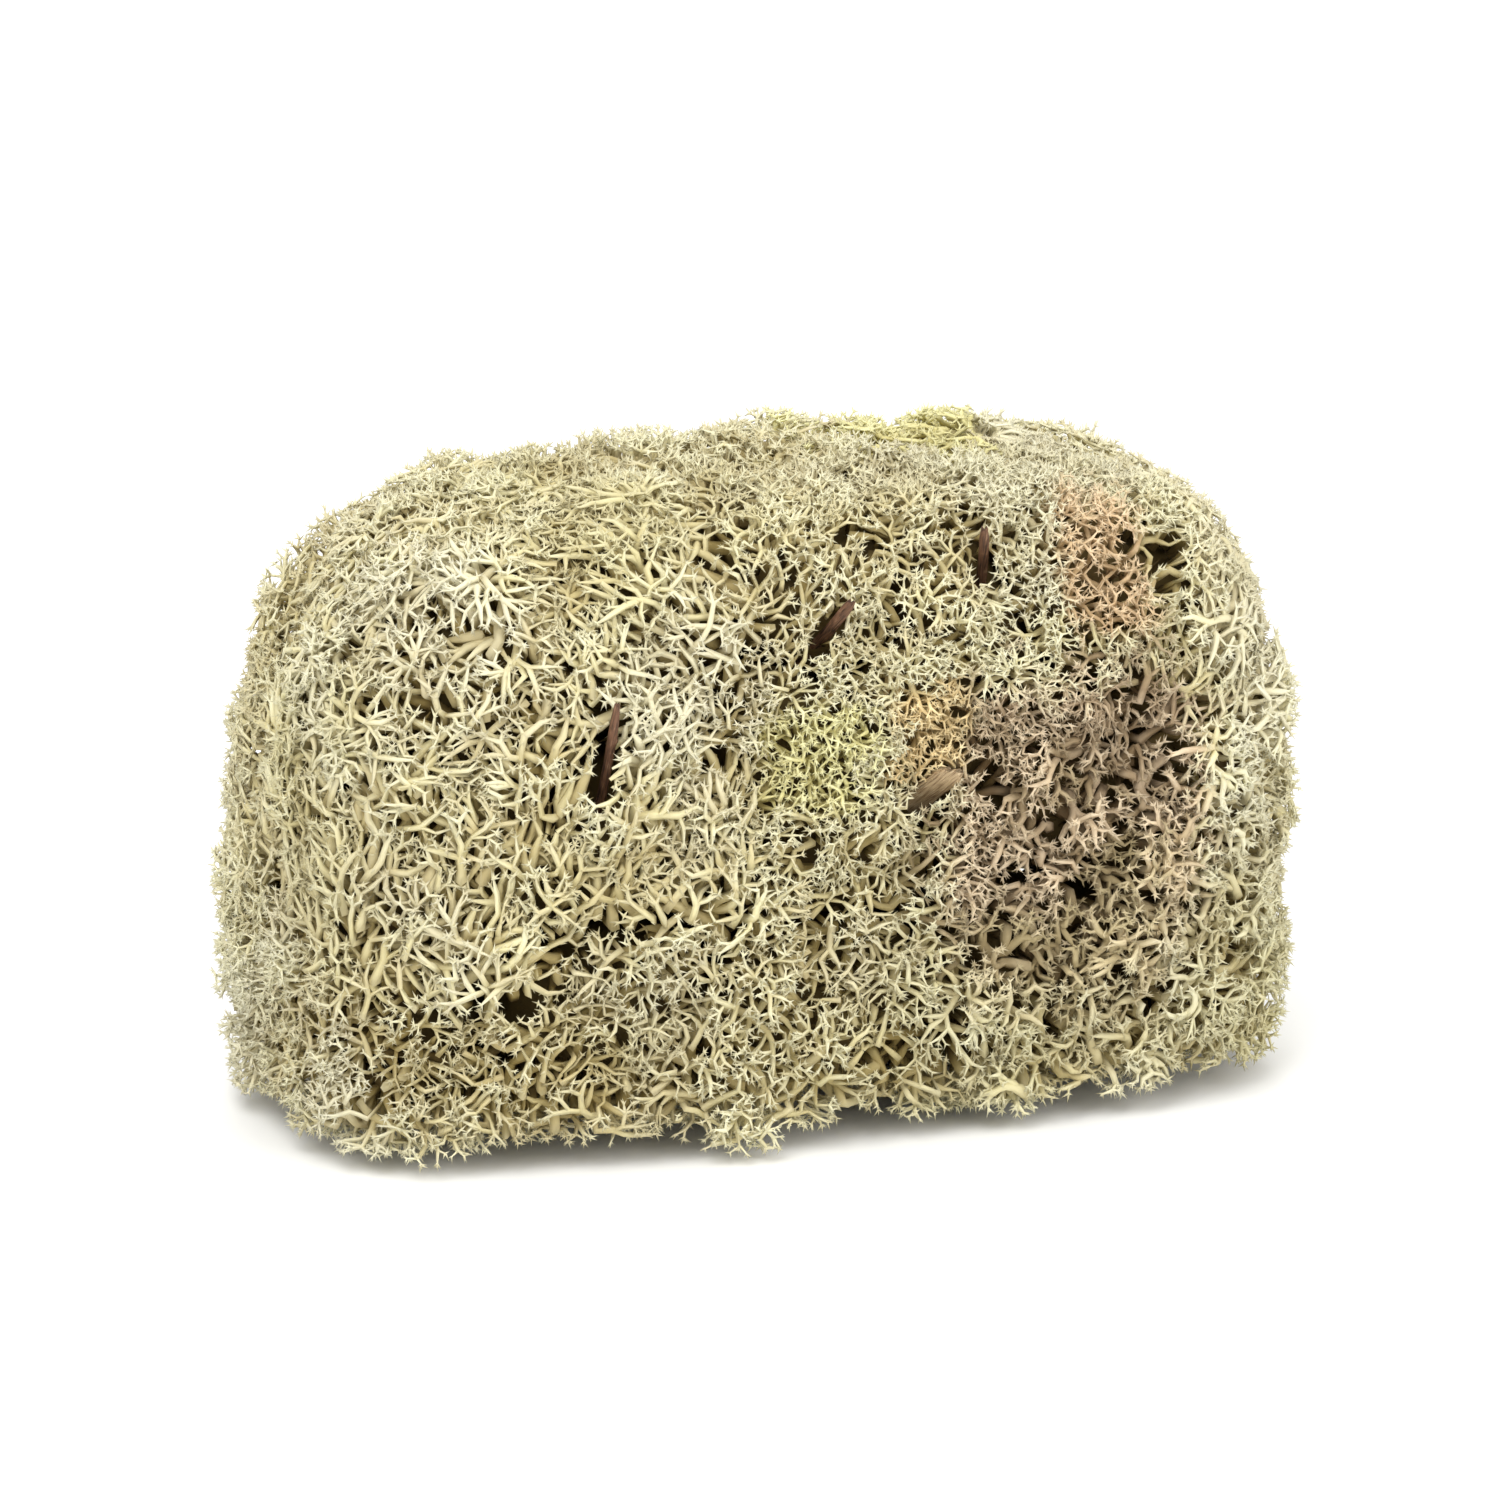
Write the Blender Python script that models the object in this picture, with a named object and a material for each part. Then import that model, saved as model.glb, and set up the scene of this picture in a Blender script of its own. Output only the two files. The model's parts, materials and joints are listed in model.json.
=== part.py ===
# Reindeer moss clump, in metres, +Z up. It stands on small flat spots under its base tufts.
# The origin is on the flat spot of the central base tuft, below the middle of the clump.
# Each tuft is one solid: a small heart of matted old stems, with forked branches raised from its faces.
# Cells share the space out between the tufts, so that neighbours nearly touch and never cross.
import math
import random

import bmesh
import bpy
from mathutils import Vector
from mathutils.bvhtree import BVHTree

# The outline of the whole clump
WIDTH = 0.1275
DEPTH = 0.0635
HEIGHT = 0.0775
SQUARENESS = 3.5  # 2 is an ellipsoid, and more is closer to a block
WIDEST_AT = 0.0270  # the height of the fullest section

# How deep the branches stand out of the hearts, and the shape of the hearts
BRANCH_DEPTH = 0.0135
LEAST_HEART = 0.0045
HEART_ROUNDING = 12  # higher makes the hearts fill their cells' corners
HEART_TURN = 0.12  # how far a heart's corners wander from their even places, on a sphere of radius 1

# The room between neighbours, and the dip of the surface where two tufts meet
TUFT_GAP = 0.00034
BRANCH_GAP = 0.00016
CREASE_DEPTH = 0.0030
CREASE_WIDTH = 0.0030

# The seeds of the tufts: each tuft fills the space that lies nearest to its seed
SEEDS = {
    "tuft_base_middle": (0.0, 0.0, 0.0110),
    "tuft_base_left": (-0.0440, 0.0010, 0.0130),
    "tuft_base_right": (0.0450, -0.0010, 0.0130),
    "tuft_base_front": (0.0010, -0.0150, 0.0140),
    "tuft_base_back": (-0.0010, 0.0150, 0.0140),
    "tuft_base_front_left": (-0.0230, -0.0100, 0.0130),
    "tuft_base_front_right": (0.0240, -0.0100, 0.0130),
    "tuft_base_back_left": (-0.0240, 0.0100, 0.0130),
    "tuft_base_back_right": (0.0220, 0.0100, 0.0130),
    "tuft_middle_front_1": (-0.0420, -0.0085, 0.0350),
    "tuft_middle_front_2": (-0.0190, -0.0090, 0.0370),
    "tuft_middle_front_3": (0.0020, -0.0090, 0.0310),
    "tuft_middle_front_4": (0.0270, -0.0090, 0.0390),
    "tuft_middle_front_5": (0.0440, -0.0080, 0.0350),
    "tuft_top_front_1": (-0.0410, -0.0080, 0.0540),
    "tuft_top_front_2": (-0.0200, -0.0085, 0.0570),
    "tuft_top_front_3": (0.0010, -0.0085, 0.0570),
    "tuft_top_front_4": (0.0190, -0.0090, 0.0560),
    "tuft_top_front_5": (0.0410, -0.0085, 0.0520),
    "tuft_middle_back_1": (-0.0430, 0.0080, 0.0330),
    "tuft_middle_back_2": (-0.0240, 0.0090, 0.0380),
    "tuft_middle_back_3": (0.0040, 0.0090, 0.0350),
    "tuft_middle_back_4": (0.0230, 0.0090, 0.0360),
    "tuft_middle_back_5": (0.0430, 0.0085, 0.0360),
    "tuft_top_back_1": (-0.0400, 0.0080, 0.0520),
    "tuft_top_back_2": (-0.0180, 0.0080, 0.0560),
    "tuft_top_back_3": (0.0010, 0.0085, 0.0540),
    "tuft_top_back_4": (0.0210, 0.0085, 0.0570),
    "tuft_top_back_5": (0.0410, 0.0080, 0.0530),
}
# Small heads between the large ones
SMALL_HEADS = {
    "tuft_small_green": (-0.0040, -0.0130, 0.0455),
    "tuft_small_golden": (0.0115, -0.0135, 0.0475),
    "tuft_small_tan": (0.0315, -0.0130, 0.0625),
}

# Branches: a stem ends in a whorl of needles, or in a wide place it forks into arms with whorls
STEM_SHARES = {"single": (0.50, 0.68), "forked": (0.34, 0.42)}  # of the run from the heart to the surface
ARM_SHARE = 0.30
TIP_SHARE = 0.46
STEM_RADIUS = 0.00110
ARM_RADIUS = 0.00090
THINNEST = 0.00045
ARM_ANGLES = (36, 58)
TIP_ANGLES = (36, 60)
LEAST_RUN = 0.0040
LEAST_FACING = 0.2  # a face that looks further aside than this stays plain
LEAST_TIP = 0.0012
LENGTH_RANGE = (0.88, 1.0)
TIP_RANGE = (0.8, 1.15)
STEM_WANDER = 0.2  # how far arms and needles turn from their even places round the branch, in radians
TIP_WANDER = 0.3
CROWN = 0.5  # the height of a fork's middle above its ring, in radii
WIDE_PLACE = 0.0036  # a place this wide gets a branch that forks twice
WIDE_FOOT = 0.0023  # a face this wide gets a low flared foot, with a slim stem on it
FOOT_SHARE = 0.14  # of the run
FOOT_RADIUS = 0.00170
MOST_TRIES = 5  # a branch that still crosses another after this many draws is left out
SEED = 20

# How a branch looks for room: these shares narrow its angle until enough of the wanted length is free
NARROWINGS = (1.0, 0.75, 0.5, 0.25)
ENOUGH = 0.8
CLEARLY_BETTER = 1.25
RUN_STEPS = 16
SEARCH_STEPS = 24
TINY = 1e-6

# Kinds of tuft, each with its material
COLOURS = {
    "pale": (0.62, 0.60, 0.42),
    "green": (0.62, 0.60, 0.33),
    "golden": (0.52, 0.43, 0.22),
    "tan": (0.46, 0.33, 0.20),
    "dry": (0.33, 0.25, 0.17),
    "bark": (0.10, 0.045, 0.025),
    "wood": (0.45, 0.30, 0.17),
}
KIND_OF = {
    "tuft_middle_front_4": "dry",
    "tuft_middle_front_5": "dry",
    "tuft_base_front_right": "dry",
    "tuft_base_middle": "dry",
    "tuft_base_back_left": "dry",
    "tuft_small_green": "green",
    "tuft_small_golden": "golden",
    "tuft_small_tan": "tan",
    "tuft_middle_back_2": "green",
    "tuft_top_back_4": "green",
}

# Twigs and flakes caught in the moss, each from its outer to its inner end
CAUGHT = {
    "twig": {
        "outer": (-0.0292, -0.0292, 0.0560), "inner": (-0.0276, -0.0158, 0.0325),
        "width": 0.0012, "thickness": 0.0012, "sides": 6, "bend": 0.0004, "kind": "bark",
    },
    "bark_splinter_1": {
        "outer": (0.0165, -0.0243, 0.0712), "inner": (0.0203, -0.0130, 0.0562),
        "width": 0.0013, "thickness": 0.0008, "sides": 4, "bend": 0.0004, "kind": "bark",
    },
    "bark_splinter_2": {
        "outer": (-0.0012, -0.0292, 0.0655), "inner": (-0.0026, -0.0158, 0.0540),
        "width": 0.0015, "thickness": 0.0009, "sides": 4, "bend": 0.0004, "kind": "bark",
    },
    "wood_chip": {
        "outer": (0.0114, -0.0302, 0.0448), "inner": (0.0078, -0.0158, 0.0338),
        "width": 0.0042, "thickness": 0.0010, "sides": 4, "bend": 0.0, "kind": "wood",
    },
}
TAPER = [(0.0, 0.45), (0.12, 0.9), (0.55, 1.0), (1.0, 0.72)]  # shares of the length and of the width
HOLE_CLEARANCE = 0.0003
CAUGHT_ROOM = 0.0007  # the branches keep this far from a caught piece's surface
BEYOND_TIP = 1.1  # and from this share of its length, so that its outer end stays free too


def clear_scene():
    for old in list(bpy.data.objects):
        bpy.data.objects.remove(old)


def material(kind):
    found = bpy.data.materials.get(kind)
    if found:
        return found
    made = bpy.data.materials.new(kind)
    made.use_nodes = True
    shader = made.node_tree.nodes["Principled BSDF"]
    shader.inputs["Base Color"].default_value = (*COLOURS[kind], 1.0)
    shader.inputs["Roughness"].default_value = 0.85
    shader.inputs["Metallic"].default_value = 0.0
    return made


def new_object(name, verts, faces, kind):
    mesh = bpy.data.meshes.new(name)
    mesh.from_pydata(verts, [], faces)
    made = bpy.data.objects.new(name, mesh)
    made.data.materials.append(material(kind))
    bpy.context.scene.collection.objects.link(made)
    return made


# The outline

def block_value(point, inset):
    """Below 1 inside the outline moved in by inset, and above 1 outside it. The floor isn't counted."""
    x = abs(point.x) / (WIDTH / 2 - inset)
    y = abs(point.y) / (DEPTH / 2 - inset)
    z = abs(point.z - WIDEST_AT) / (HEIGHT - WIDEST_AT - inset)
    return x**SQUARENESS + y**SQUARENESS + z**SQUARENESS


def outline_value(point):
    return block_value(point, 0.0)


def heart_value(point):
    return block_value(point, BRANCH_DEPTH)


def growth(point):
    """The direction in which branches grow at a point: straight out of the block through it."""
    out = []
    sizes = (WIDTH / 2 - BRANCH_DEPTH, DEPTH / 2 - BRANCH_DEPTH, HEIGHT - WIDEST_AT - BRANCH_DEPTH)
    for value, size in zip((point.x, point.y, point.z - WIDEST_AT), sizes):
        out.append(math.copysign((abs(value) / size) ** (SQUARENESS - 1) / size, value))
    return Vector((out[0], out[1], max(out[2], 0.0))).normalized()


def reach(start, direction, value):
    """The distance from start along direction at which value passes 1."""
    low, high = 0.0, WIDTH
    for _ in range(SEARCH_STEPS):
        middle = (low + high) / 2
        if value(start + direction * middle) < 1:
            low = middle
        else:
            high = middle
    return low


# Cells: a cell is a list of planes, each a normal that points into the cell and a distance from the origin

def room(point, planes):
    """The distance from point to the nearest wall."""
    return min(normal.dot(point) - distance for normal, distance in planes)


def run_in(start, direction, planes, margin):
    """How far one can go from start along direction and stay margin inside the walls."""
    found = WIDTH
    for normal, distance in planes:
        closing = -normal.dot(direction)
        if closing > TINY:
            found = min(found, (normal.dot(start) - distance - margin) / closing)
    return found


class Tuft:
    def __init__(self, name, seed):
        self.name = name
        self.kind = KIND_OF.get(name, "pale")
        self.seed = Vector(seed)
        self.planes = []
        self.verts = []
        self.faces = []
        self.owners = []

    def part_from(self, others):
        for other in others:
            if other is self:
                continue
            normal = (self.seed - other.seed).normalized()
            wall = (self.seed + other.seed) / 2
            self.planes.append((normal, wall.dot(normal) + TUFT_GAP / 2))
        self.planes.append((Vector((0, 0, 1)), 0.0))

    def nearness(self, point):
        """The room to the nearest neighbour's cell, without the floor."""
        return room(point, self.planes[:-1])

    def heart_reach(self, direction):
        """The distance from the seed to the heart's surface: the cell's shape with its edges rounded."""
        outer = max(LEAST_HEART, reach(self.seed, direction, heart_value))
        shares = [1 / outer]
        for normal, distance in self.planes[:-1]:
            closing = -normal.dot(direction)
            if closing > TINY:
                shares.append(closing / (normal.dot(self.seed) - distance))
        rounded = sum(share**HEART_ROUNDING for share in shares) ** (-1 / HEART_ROUNDING)
        return min(rounded, run_in(self.seed, direction, self.planes[-1:], 0.0))


def make_tufts():
    tufts = [Tuft(name, seed) for name, seed in (SEEDS | SMALL_HEADS).items()]
    for tuft in tufts:
        tuft.part_from(tufts)
    return tufts


def raise_heart(tuft, rng):
    """Fills the tuft with the corners of its heart, and gives back the heart's faces."""
    shape = bmesh.new()
    bmesh.ops.create_icosphere(shape, subdivisions=2, radius=1.0)
    for vert in shape.verts:
        wander = Vector([rng.uniform(-HEART_TURN, HEART_TURN) for _ in range(3)])
        direction = (vert.co + wander).normalized()
        place = tuft.seed + direction * tuft.heart_reach(direction)
        if place.z < TINY:
            place.z = 0.0
        tuft.verts.append(place)
    faces = [[vert.index for vert in face.verts] for face in shape.faces]
    shape.free()
    return faces


# Branches

def turned(axis, azimuth_vector, angle):
    return (axis * math.cos(angle) + azimuth_vector * math.sin(angle)).normalized()


def around(first, second, azimuth):
    return first * math.cos(azimuth) + second * math.sin(azimuth)


def frame_for(axis, towards):
    """Two unit vectors across axis, the first of them on the side of towards."""
    first = (towards - axis * towards.dot(axis)).normalized()
    return first, axis.cross(first)


def join(tuft, low, high):
    """The three sides of a branch between two rings whose corners stand above each other."""
    for k in range(3):
        tuft.faces.append((low[k], low[(k + 1) % 3], high[(k + 1) % 3]))
        tuft.faces.append((low[k], high[(k + 1) % 3], high[k]))


def add_ring(tuft, centre, first, second, radius):
    base = len(tuft.verts)
    for k in range(3):
        tuft.verts.append(centre + around(first, second, 2 * math.pi * k / 3) * radius)
    return [base, base + 1, base + 2]


def wedge(centre, first, second, sector):
    """The two walls that part one branch of a fork from the other two."""
    start = 2 * math.pi * sector / 3
    end = start + 2 * math.pi / 3
    left = around(first, second, start + math.pi / 2)
    right = around(first, second, end - math.pi / 2)
    return [(left, left.dot(centre)), (right, right.dot(centre))]


def free_run(start, direction, planes, margin):
    """How far a branch can grow from start: to the cell's walls, the outline or a caught piece."""
    length = min(run_in(start, direction, planes, margin), reach(start, direction, outline_value))
    for piece in CAUGHT.values():
        inner = Vector(piece["inner"])
        run = Vector(piece["outer"]) - inner
        clearance = piece["width"] / 2 + margin + CAUGHT_ROOM
        for step in range(1, RUN_STEPS + 1):
            point = start + direction * (length * step / RUN_STEPS)
            along = max(0.0, min(BEYOND_TIP, (point - inner).dot(run) / run.length_squared))
            if (point - inner - run * along).length < clearance:
                length *= (step - 1) / RUN_STEPS
                break
    return length


def aim(start, axis, side, angle, wanted, planes, margin):
    """A direction and a length from start that stay in the cell, bent towards axis where room is short."""
    best = None
    for narrowing in NARROWINGS:
        direction = turned(axis, side, angle * narrowing)
        length = free_run(start, direction, planes, margin)
        if best is None or length > best[1] * CLEARLY_BETTER:
            best = (direction, length)
        if length >= wanted * ENOUGH:
            break
    return best[0], min(best[1], wanted)


def add_tip(tuft, base, direction, length):
    """A branch's end: a needle on three corners, or a flat face where there is no room for one."""
    if length < LEAST_TIP:
        tuft.faces.append(tuple(base))
        return
    centre = sum((tuft.verts[k] for k in base), Vector()) / 3
    tuft.verts.append(centre + direction * length)
    apex = len(tuft.verts) - 1
    for k in range(3):
        tuft.faces.append((base[k], base[(k + 1) % 3], apex))


def add_whorl(tuft, ring, centre, axis, first, second, radius, length, planes, rng):
    """Three needles that stand on a branch's end."""
    tuft.verts.append(centre + axis * radius * CROWN)
    crown = len(tuft.verts) - 1
    for sector in range(3):
        base = [ring[sector], ring[(sector + 1) % 3], crown]
        azimuth = 2 * math.pi * (sector + 0.5) / 3 + rng.uniform(-TIP_WANDER, TIP_WANDER)
        side = around(first, second, azimuth)
        start = sum((tuft.verts[k] for k in base), Vector()) / 3
        inside = planes + wedge(centre, first, second, sector)
        wanted = length * rng.uniform(*TIP_RANGE)
        angle = math.radians(rng.uniform(*TIP_ANGLES))
        direction, run = aim(start, axis, side, angle, wanted, inside, BRANCH_GAP)
        add_tip(tuft, base, direction, run)


def add_arm(tuft, base, axis, side, inside, run, rng):
    """A branch of a fork, which ends in a whorl."""
    start = sum((tuft.verts[k] for k in base), Vector()) / 3
    angle = math.radians(rng.uniform(*ARM_ANGLES))
    direction, length = aim(start, axis, side, angle, run * ARM_SHARE, inside, ARM_RADIUS + BRANCH_GAP)
    end = start + direction * length
    radius = min(ARM_RADIUS, room(end, inside) - BRANCH_GAP)
    if length < 2 * ARM_RADIUS or radius < THINNEST:
        direction, length = aim(start, axis, side, angle, run * ARM_SHARE, inside, BRANCH_GAP)
        add_tip(tuft, base, direction, length)
        return
    first, second = frame_for(direction, tuft.verts[base[0]] - start)
    ring = add_ring(tuft, end, first, second, radius)
    join(tuft, base, ring)
    add_whorl(tuft, ring, end, direction, first, second, radius, run * TIP_SHARE, inside, rng)


def column(corners):
    """The three walls that stand on a face's edges and follow the growth."""
    walls = []
    for k in range(3):
        start, end = corners[k], corners[(k + 1) % 3]
        rise = (growth(start) + growth(end)).normalized()
        normal = rise.cross(end - start).normalized()
        walls.append((normal, normal.dot(start)))
    return walls


def crossing_branches(tuft):
    """The numbers of the branches whose faces run through another branch's or the heart's."""
    tree = BVHTree.FromPolygons(tuft.verts, tuft.faces, all_triangles=True)
    found = set()
    for one, other in tree.overlap(tree):
        if not set(tuft.faces[one]) & set(tuft.faces[other]):
            found.add(max(tuft.owners[one], tuft.owners[other]))
    return found


def raise_tuft(tuft):
    """Raises the heart and its branches, and draws a branch that crosses another one again."""
    tries = {}
    crossing = {None}
    while crossing:
        tuft.verts, tuft.faces, tuft.owners = [], [], []
        for number, face in enumerate(raise_heart(tuft, random.Random(f"{SEED} {tuft.name}"))):
            attempt = tries.get(number, 0)
            if attempt < MOST_TRIES:
                raise_branch(tuft, face, random.Random(f"{SEED} {tuft.name} {number} {attempt}"))
            else:
                tuft.faces.append(tuple(face))
            tuft.owners += [number] * (len(tuft.faces) - len(tuft.owners))
        crossing = crossing_branches(tuft)
        for number in crossing:
            tries[number] = tries.get(number, 0) + 1


def raise_branch(tuft, face, rng):
    """Raises a branch from one face of the heart, or leaves the face plain where there is no room."""
    corners = [tuft.verts[k] for k in face]
    foot = sum(corners, Vector()) / 3
    facing = (corners[1] - corners[0]).cross(corners[2] - corners[0]).normalized()
    axis = growth(foot)
    sides = column(corners)
    planes = tuft.planes + sides
    run = free_run(foot, axis, planes, BRANCH_GAP)
    far = foot + axis * run
    run -= CREASE_DEPTH * math.exp(-max(0.0, tuft.nearness(far)) / CREASE_WIDTH)
    run *= rng.uniform(*LENGTH_RANGE)
    form = "forked" if room(far, sides) > WIDE_PLACE else "single"
    fork = foot + axis * run * rng.uniform(*STEM_SHARES[form])
    radius = min(STEM_RADIUS, room(fork, planes) - BRANCH_GAP)
    if facing.dot(axis) < LEAST_FACING or run < LEAST_RUN or radius < THINNEST:
        tuft.faces.append(tuple(face))
        return
    first, second = frame_for(axis, (corners[0] + corners[1]) / 2 - foot)
    wide = room(foot, sides) > WIDE_FOOT
    low = add_ring(tuft, foot + axis * run * FOOT_SHARE, first, second, FOOT_RADIUS) if wide else None
    ring = add_ring(tuft, fork, first, second, radius)
    lowest = low or ring
    for k in range(3):
        # A ring's corners stand over the face's edges, not over its corners
        tuft.faces.append((face[k], face[(k + 1) % 3], lowest[k]))
        tuft.faces.append((face[(k + 1) % 3], lowest[(k + 1) % 3], lowest[k]))
    if wide:
        join(tuft, low, ring)
    if form == "single":
        add_whorl(tuft, ring, fork, axis, first, second, radius, run * TIP_SHARE, planes, rng)
        return
    tuft.verts.append(fork + axis * radius * CROWN)
    crown = len(tuft.verts) - 1
    for sector in range(3):
        base = [ring[sector], ring[(sector + 1) % 3], crown]
        azimuth = 2 * math.pi * (sector + 0.5) / 3 + rng.uniform(-STEM_WANDER, STEM_WANDER)
        side = around(first, second, azimuth)
        add_arm(tuft, base, axis, side, planes + wedge(fork, first, second, sector), run, rng)


# Caught pieces

def cut(base, cutter):
    hole = base.modifiers.new("hole", "BOOLEAN")
    hole.operation = "DIFFERENCE"
    hole.object = cutter
    graph = bpy.context.evaluated_depsgraph_get()
    mesh = bpy.data.meshes.new_from_object(base.evaluated_get(graph))
    mesh.name = base.name
    base.modifiers.clear()
    base.data = mesh


def make_caught(name, piece, grow):
    """A tapered stick or flake from its outer to its inner end, made fatter and longer by grow."""
    outer, inner = Vector(piece["outer"]), Vector(piece["inner"])
    run = (inner - outer).normalized()
    flat = run.cross(Vector((0, 1, 0))).normalized()
    thin = run.cross(flat)
    sides = piece["sides"]
    # A flake's half width and thickness reach to its edges, and a stick's to its corners
    corner = math.sqrt(2) if sides == 4 else 1.0
    verts, faces = [], []
    for share, size in TAPER:
        longer = {0.0: -grow, 1.0: grow}.get(share, 0.0)
        centre = outer + run * (share * (inner - outer).length + longer)
        centre += flat * piece["bend"] * math.sin(math.pi * share)
        for k in range(sides):
            angle = 2 * math.pi * (k + 0.5) / sides
            wide = (piece["width"] / 2 * size + grow) * math.cos(angle)
            high = (piece["thickness"] / 2 * size + grow) * math.sin(angle)
            verts.append(centre + (flat * wide + thin * high) * corner)
    last = len(verts) - sides
    for low in range(0, last, sides):
        for k in range(sides):
            a = low + k
            b = low + (k + 1) % sides
            faces.append((a, b, b + sides, a + sides))
    faces.append(tuple(reversed(range(sides))))
    faces.append(tuple(range(last, last + sides)))
    made = new_object(name, verts, faces, piece["kind"])
    shape = bmesh.new()
    shape.from_mesh(made.data)
    bmesh.ops.recalc_face_normals(shape, faces=shape.faces)
    bmesh.ops.triangulate(shape, faces=shape.faces)
    shape.to_mesh(made.data)
    shape.free()
    return made


def span(made):
    """The lowest and the highest corner of an object's box."""
    points = [vert.co for vert in made.data.vertices]
    return [[pick(point[k] for point in points) for k in range(3)] for pick in (min, max)]


def boxes_meet(one, other):
    (low, high), (other_low, other_high) = span(one), span(other)
    return all(low[k] < other_high[k] and other_low[k] < high[k] for k in range(3))


def main():
    clear_scene()
    tufts = make_tufts()
    bodies = []
    for tuft in tufts:
        raise_tuft(tuft)
        bodies.append(new_object(tuft.name, tuft.verts, tuft.faces, tuft.kind))
    for name, piece in CAUGHT.items():
        make_caught(name, piece, 0.0)
        cutter = make_caught(name + "_hole", piece, HOLE_CLEARANCE)
        for body in bodies:
            if boxes_meet(body, cutter):
                cut(body, cutter)
        bpy.data.objects.remove(cutter)


main()
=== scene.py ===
import json
import math

import bmesh
import bpy
import numpy as np
from mathutils import Matrix, Vector
from mathutils.kdtree import KDTree


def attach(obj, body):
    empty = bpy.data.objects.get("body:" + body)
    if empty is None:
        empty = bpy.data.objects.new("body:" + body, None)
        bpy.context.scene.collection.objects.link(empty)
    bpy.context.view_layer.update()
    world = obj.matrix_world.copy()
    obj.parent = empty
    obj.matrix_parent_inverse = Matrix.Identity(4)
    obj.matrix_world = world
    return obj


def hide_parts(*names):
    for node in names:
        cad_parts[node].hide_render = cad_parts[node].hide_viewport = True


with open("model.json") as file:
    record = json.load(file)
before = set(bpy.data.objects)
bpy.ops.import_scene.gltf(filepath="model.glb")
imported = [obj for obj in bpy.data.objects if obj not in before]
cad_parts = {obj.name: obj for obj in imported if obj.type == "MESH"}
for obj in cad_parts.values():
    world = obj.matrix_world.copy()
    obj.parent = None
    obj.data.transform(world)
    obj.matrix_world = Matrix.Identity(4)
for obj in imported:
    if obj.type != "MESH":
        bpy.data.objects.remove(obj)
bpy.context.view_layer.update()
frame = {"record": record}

# Metres throughout, +Z up, the front of the clump at -Y.


# Camera, floor and lights

camera = {
    "azimuth": -22.1,  # degrees round the clump, from its front
    "elevation": 17.1,
    "roll": 1.4,
    "distance": 1.574,
    "lens": 329.0,
    "aside": -0.0003,  # where the camera aims, to the right of the clump's foot
    "above": 0.0389,
    "footDrop": 0.0015,
}
studio = {
    "floorRadius": 3.0,
    "floorColour": (0.90, 0.90, 0.89),
    "sky": (1.0, 1.0, 1.0),
    "skyStrength": 0.90,
    "aimHeight": 0.04,
    # azimuth, elevation, distance, size, watts
    "key": (-48, 52, 0.85, 0.60, 4.6),
    "fill": (38, 30, 0.95, 0.80, 3.6),
    "rim": (165, 48, 0.90, 0.50, 2.0),
}


def fromAngles(azimuth, elevation):
    a = math.radians(azimuth)
    e = math.radians(elevation)
    return Vector((math.sin(a) * math.cos(e), -math.cos(a) * math.cos(e), math.sin(e)))


def link(thing):
    bpy.context.scene.collection.objects.link(thing)
    return thing


def makeCamera():
    back = fromAngles(camera["azimuth"], camera["elevation"])
    flat = math.radians(camera["azimuth"])
    level = Vector((math.cos(flat), math.sin(flat), 0))
    roll = math.radians(camera["roll"])
    steep = back.cross(level)
    right = level * math.cos(roll) + steep * math.sin(roll)
    up = back.cross(right)
    lens = bpy.data.cameras.new("camera")
    lens.lens = camera["lens"]
    lens.clip_start = 0.05
    lens.clip_end = 20.0
    made = link(bpy.data.objects.new("camera", lens))
    spot = right * camera["aside"] + up * camera["above"] + back * camera["distance"]
    spot.z -= camera["footDrop"]
    turn = Matrix((right, up, back)).transposed().to_4x4()
    made.matrix_world = Matrix.Translation(spot) @ turn
    bpy.context.scene.camera = made


def makeFloor():
    shape = bmesh.new()
    bmesh.ops.create_circle(shape, cap_ends=True, radius=studio["floorRadius"], segments=96)
    mesh = bpy.data.meshes.new("floor")
    shape.to_mesh(mesh)
    shape.free()
    paper = bpy.data.materials.new("floor")
    paper.use_nodes = True
    shader = paper.node_tree.nodes["Principled BSDF"]
    shader.inputs["Base Color"].default_value = (*studio["floorColour"], 1)
    shader.inputs["Roughness"].default_value = 0.9
    mesh.materials.append(paper)
    link(bpy.data.objects.new("floor", mesh))


def makeLights():
    for name in ("key", "fill", "rim"):
        azimuth, elevation, distance, size, watts = studio[name]
        lamp = bpy.data.lights.new(name, "AREA")
        lamp.shape = "DISK"
        lamp.size = size
        lamp.energy = watts
        made = link(bpy.data.objects.new(name, lamp))
        direction = fromAngles(azimuth, elevation)
        made.location = direction * distance + Vector((0, 0, studio["aimHeight"]))
        made.rotation_euler = direction.to_track_quat("Z", "Y").to_euler()
    world = bpy.data.worlds.new("sky")
    world.use_nodes = True
    sky = world.node_tree.nodes["Background"]
    sky.inputs["Color"].default_value = (*studio["sky"], 1)
    sky.inputs["Strength"].default_value = studio["skyStrength"]
    bpy.context.scene.world = world
    bpy.context.scene.view_settings.view_transform = "Standard"


makeCamera()
makeFloor()
makeLights()
print("camera, floor and lights are in place")


# Node trees, for materials and for shapes alike

class Value:
    # One output of a node. A sum or product written on it adds a Math node.
    def __init__(self, graph, socket):
        self.graph = graph
        self.socket = socket

    def math(self, operation, other):
        return self.graph.add("ShaderNodeMath", {"operation": operation}, {0: self, 1: other})

    def __add__(self, other):
        return self.math("ADD", other)

    def __mul__(self, other):
        return self.math("MULTIPLY", other)


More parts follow.
